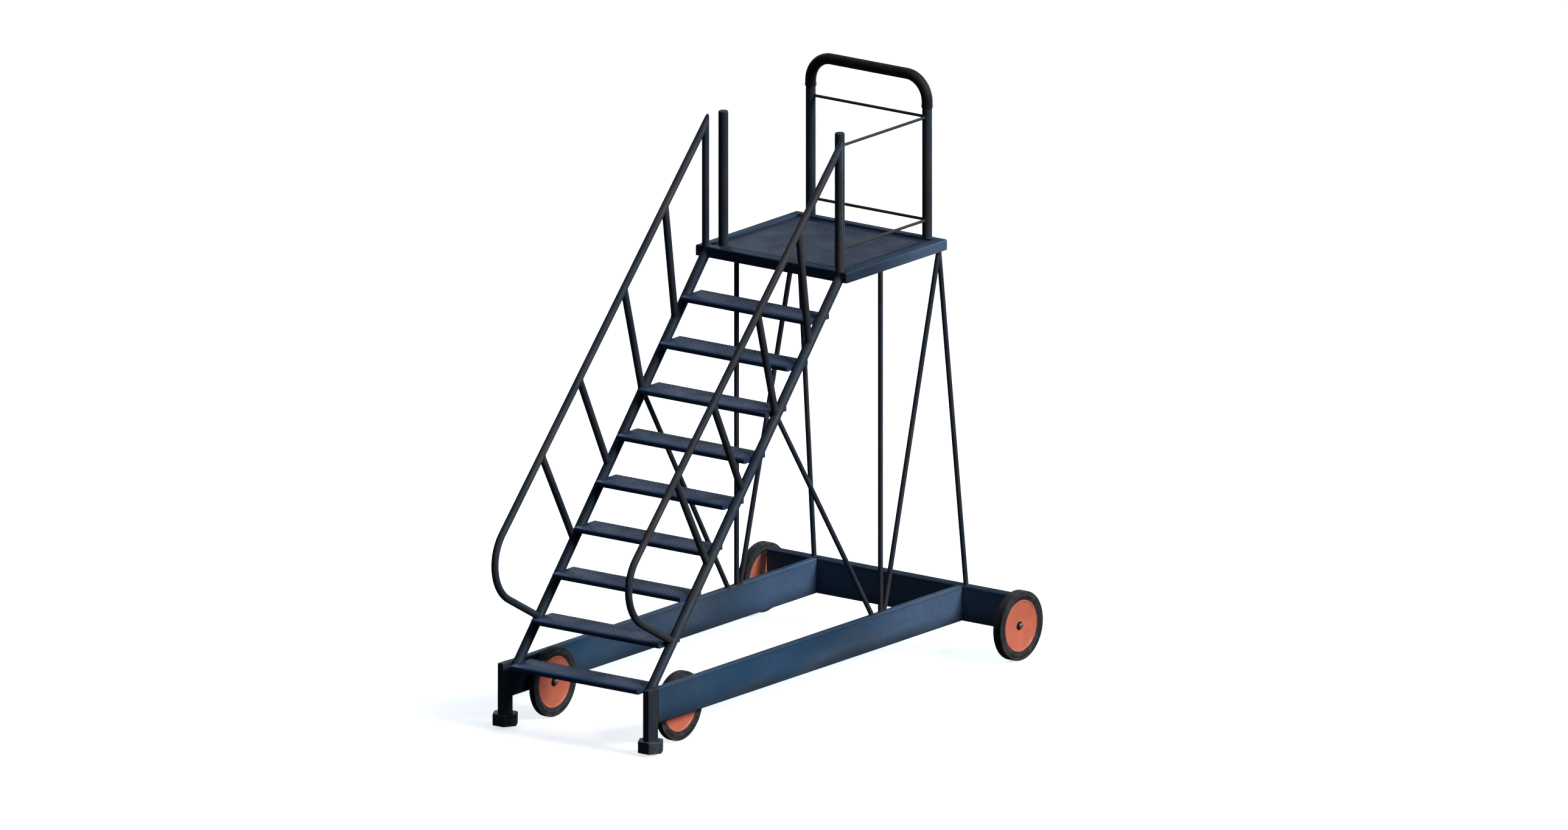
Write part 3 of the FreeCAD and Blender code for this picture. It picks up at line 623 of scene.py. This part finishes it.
def patterned_tops():
    """The studs of each tread and of the deck."""
    for number in range(1, 10):
        low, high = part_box("tread_%d" % number)
        patch = Patch()
        studs(patch, Vector((low.x + tread_nose_margin, low.y + tread_end_margin)),
              Vector((high.x - tread_rear_margin, high.y - tread_end_margin)), high.z)
        patterned_piece("studs_tread_%d" % number, patch, "tread_paint")
    low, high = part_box("platform_deck")
    blocked = []
    for side in SIDES:
        post_low, post_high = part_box("front_post_" + side)
        blocked.append((((post_low + post_high) / 2).xy, post_clearance))
    patch = Patch()
    studs(patch, Vector((low.x + deck_margin, low.y + deck_margin)),
          Vector((high.x - deck_margin, high.y - deck_margin)), high.z, blocked)
    patterned_piece("studs_deck", patch, "deck_paint")


patterned_tops()


# ---------------------------------------------------------------- tyres
rib_count = 190
rib_depth = 0.0011
block_rows = 5
tyre_ridge = 0.181
tyre_crease = 35


def lathe(patch, profile, centre, count, relief):
    """A closed (radius, offset) profile turned about the y direction through a centre.

    relief(index, number) is what is added to a point's radius and offset.
    """
    rings = []
    for index in range(count):
        turn = 2 * math.pi * index / count
        for number, (radius, offset) in enumerate(profile):
            lift = relief(index, number)
            reach = radius + lift[0]
            rings.append(centre + Vector((reach * math.cos(turn), offset + lift[1], reach * math.sin(turn))))
    size = len(profile)
    faces = []
    for index in range(count):
        low, high = index * size, (index + 1) % count * size
        for number in range(size):
            following = (number + 1) % size
            faces.append((low + number, low + following, high + following, high + number))
    patch.add(rings, faces)


def tyre(end, side):
    """A solid tyre with a raised ring and ribs on its flanks and blocks all round, for the CAD ring."""
    node = "%s_tyre_%s" % (end, side)
    low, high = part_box(node)
    centre = (low + high) / 2
    half = (high.y - low.y) / 2
    outer = (high.z - low.z) / 2
    disc_low, disc_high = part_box("%s_wheel_disc_%s" % (end, side))
    seat = (disc_high.z - disc_low.z) / 2
    dish = [(seat, half - 0.0075), (seat + 0.006, half - 0.0062), (seat + 0.013, half - 0.0040),
            (tyre_ridge - 0.004, half - 0.0012), (tyre_ridge - 0.0015, half), (tyre_ridge + 0.0015, half)]
    band = [(tyre_ridge + 0.004, half - 0.0012), (tyre_ridge + 0.012, half - 0.0018),
            (outer - 0.009, half - 0.0018)]
    shoulder = [(outer - 0.0025, half - 0.0022), (outer - 0.0006, half - 0.0042)]
    blocks = [(outer - 0.0002, (half - 0.0070) * (1 - step / block_rows)) for step in range(block_rows)]
    flank = dish + band + shoulder + blocks
    profile = [(radius, -offset) for radius, offset in flank]
    profile += [(radius, offset) for radius, offset in reversed(flank)]
    last = len(profile) - 1
    band_start, shoulder_start = len(dish), len(dish + band)

    def relief(index, number):
        """Radial ribs on the flank's band, and staggered blocks over the running surface."""
        place = min(number, last - number)
        inward = 1 if number < len(flank) else -1
        if band_start <= place < shoulder_start and index % 2:
            return 0.0, inward * rib_depth
        if place >= shoulder_start and (index + place % 2 * 2) % 4 < 2:
            return -rib_depth, 0.0
        return 0.0, 0.0

    patch = Patch()
    lathe(patch, profile, centre, 2 * rib_count, relief)
    made = piece("%s_tyre_%s_ribbed" % (end, side), patch.vertices, patch.faces, "tyre_rubber",
                 "%s_wheel_%s" % (end, side), tyre_crease)
    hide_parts(node)


for end in ENDS:
    for side in SIDES:
        tyre(end, side)


# ---------------------------------------------------------------- springs and grip
spring_wire = 0.0016
spring_turns = 9
steps_per_turn = 20
spring_sides = 8
even_share = 0.82
eased_share = 0.18
lip_lifts = (0.0035, 0.013)
lip_radius = 0.0034
lip_sink = 0.0012
lip_steps = 72
lip_sides = 10


def springs(side):
    """The pair of coil springs over a front axle, closer wound at their ends."""
    node = "suspension_springs_" + side
    low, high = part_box(node)
    mean = (high.y - low.y) / 2 - spring_wire
    middle_y = (low.y + high.y) / 2
    patch = Patch()
    for middle_x in (low.x + mean + spring_wire, high.x - mean - spring_wire):
        points = []
        for index in range(spring_turns * steps_per_turn + 1):
            share = index / (spring_turns * steps_per_turn)
            rise = 0.5 - 0.5 * math.cos(math.pi * share)
            share = even_share * share + eased_share * rise
            turn = 2 * math.pi * index / steps_per_turn
            points.append(Vector((middle_x + mean * math.cos(turn), middle_y + mean * math.sin(turn),
                                  low.z + spring_wire + share * (high.z - low.z - 2 * spring_wire))))
        patch.tube(points, [spring_wire] * len(points), spring_sides, False)
    made = piece("coil_springs_" + side, patch.vertices, patch.faces, "spring_steel", "frame")
    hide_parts(node)
    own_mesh(made)


def grip_lips():
    """Two rounded lips at each end of the hoop's rubber sleeve."""
    low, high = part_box("hoop_grip")
    middle_x = (low.x + high.x) / 2
    outer = (high.x - low.x) / 2
    for side, middle_y in (("right", low.y + outer), ("left", high.y - outer)):
        patch = Patch()
        for lift in lip_lifts:
            centre = Vector((middle_x, middle_y, low.z + lift))
            ring = circle(centre, outer - lip_sink, lip_steps)
            patch.tube(ring, [lip_radius] * lip_steps, lip_sides, True)
        piece("grip_lip_" + side, patch.vertices, patch.faces, "grip_rubber", "frame")


for side in SIDES:
    springs(side)
grip_lips()


# ---------------------------------------------------------------- studio
view_turn = math.radians(53.1)
view_drop = math.radians(14.683)
frame_width = 9.344
camera_distance = 20.0
farthest_seen = 200.0
floor_half = 60.0
aim = Vector((0.481, 0.0, 1.579))
studio_middle = Vector((0.2, 0.0, 1.6))


def floor():
    """A wide pale floor that reads white, with soft shadows, and throws little light back."""
    mesh = bpy.data.meshes.new("floor")
    corners = [(-floor_half, -floor_half, 0), (floor_half, -floor_half, 0),
               (floor_half, floor_half, 0), (-floor_half, floor_half, 0)]
    mesh.from_pydata(corners, [], [(0, 1, 2, 3)])
    made = bpy.data.objects.new("floor", mesh)
    bpy.context.scene.collection.objects.link(made)
    finish = Finish("floor")
    path = finish.node("ShaderNodeLightPath")
    tint = finish.mix(path.outputs["Is Camera Ray"], (0.07, 0.07, 0.072, 1), (0.76, 0.76, 0.76, 1))
    finish.surface.inputs["Emission Color"].default_value = (1, 1, 1, 1)
    finish.feed(finish.surface.inputs["Emission Strength"],
                finish.math("MULTIPLY", path.outputs["Is Camera Ray"], 0.74))
    mesh.materials.append(finish.done(tint, 0.9, shine=0.0))


def sun(towards, strength, spread):
    """An even, soft light from a direction, with its spread in degrees."""
    lamp = bpy.data.lights.new("key", "SUN")
    lamp.energy = strength
    lamp.angle = math.radians(spread)
    made = bpy.data.objects.new("key", lamp)
    made.rotation_euler = (-Vector(towards)).to_track_quat("-Z", "Y").to_euler()
    bpy.context.scene.collection.objects.link(made)


def softbox(name, towards, distance, width, height, power, colour=(1, 1, 1)):
    """A large area light, seen from the middle of the studio in a direction."""
    lamp = bpy.data.lights.new(name, "AREA")
    lamp.shape = "RECTANGLE"
    lamp.size = width
    lamp.size_y = height
    lamp.energy = power
    lamp.color = colour
    made = bpy.data.objects.new(name, lamp)
    towards = Vector(towards).normalized()
    made.location = studio_middle + towards * distance
    made.rotation_euler = (-towards).to_track_quat("-Z", "Y").to_euler()
    bpy.context.scene.collection.objects.link(made)


def surroundings():
    """White to the camera, and a dim room, cool above and warm below, to everything else."""
    world = bpy.data.worlds.new("studio")
    bpy.context.scene.world = world
    world.use_nodes = True
    tree = world.node_tree
    background = tree.nodes["Background"]
    coords = tree.nodes.new("ShaderNodeTexCoord")
    split = tree.nodes.new("ShaderNodeSeparateXYZ")
    tree.links.new(coords.outputs["Generated"], split.inputs["Vector"])
    room = tree.nodes.new("ShaderNodeValToRGB")
    room.color_ramp.elements[0].position = 0.0
    room.color_ramp.elements[0].color = (0.020, 0.018, 0.018, 1)
    room.color_ramp.elements[1].position = 1.0
    room.color_ramp.elements[1].color = (0.075, 0.105, 0.150, 1)
    tree.links.new(split.outputs["Z"], room.inputs["Fac"])
    path = tree.nodes.new("ShaderNodeLightPath")
    mixer = tree.nodes.new("ShaderNodeMix")
    mixer.data_type = "RGBA"
    tree.links.new(path.outputs["Is Camera Ray"], mixer.inputs[0])
    tree.links.new(room.outputs["Color"], mixer.inputs[6])
    mixer.inputs[7].default_value = (1, 1, 1, 1)
    tree.links.new(mixer.outputs[2], background.inputs["Color"])


def camera():
    """A parallel view from the front right, a little above."""
    made = bpy.data.objects.new("camera", bpy.data.cameras.new("camera"))
    look = Vector((math.sin(view_turn) * math.cos(view_drop), math.cos(view_turn) * math.cos(view_drop),
                   -math.sin(view_drop)))
    made.data.type = "ORTHO"
    made.data.ortho_scale = frame_width
    made.data.clip_end = farthest_seen
    made.location = aim - look * camera_distance
    made.rotation_euler = look.to_track_quat("-Z", "Y").to_euler()
    bpy.context.scene.collection.objects.link(made)
    bpy.context.scene.camera = made


floor()
surroundings()
sun((0.18, -0.80, 0.52), 3.1, 24.0)
softbox("top", (0.15, -0.25, 1.0), 6.5, 5.0, 4.0, 95, (0.82, 0.91, 1.0))
softbox("edge", (0.97, 0.02, 0.15), 8.0, 1.6, 4.5, 420, (0.42, 0.74, 1.0))
softbox("back", (0.55, 0.75, 0.45), 8.0, 3.0, 3.0, 120, (0.75, 0.86, 1.0))
camera()
bpy.context.scene.view_settings.view_transform = "Standard"
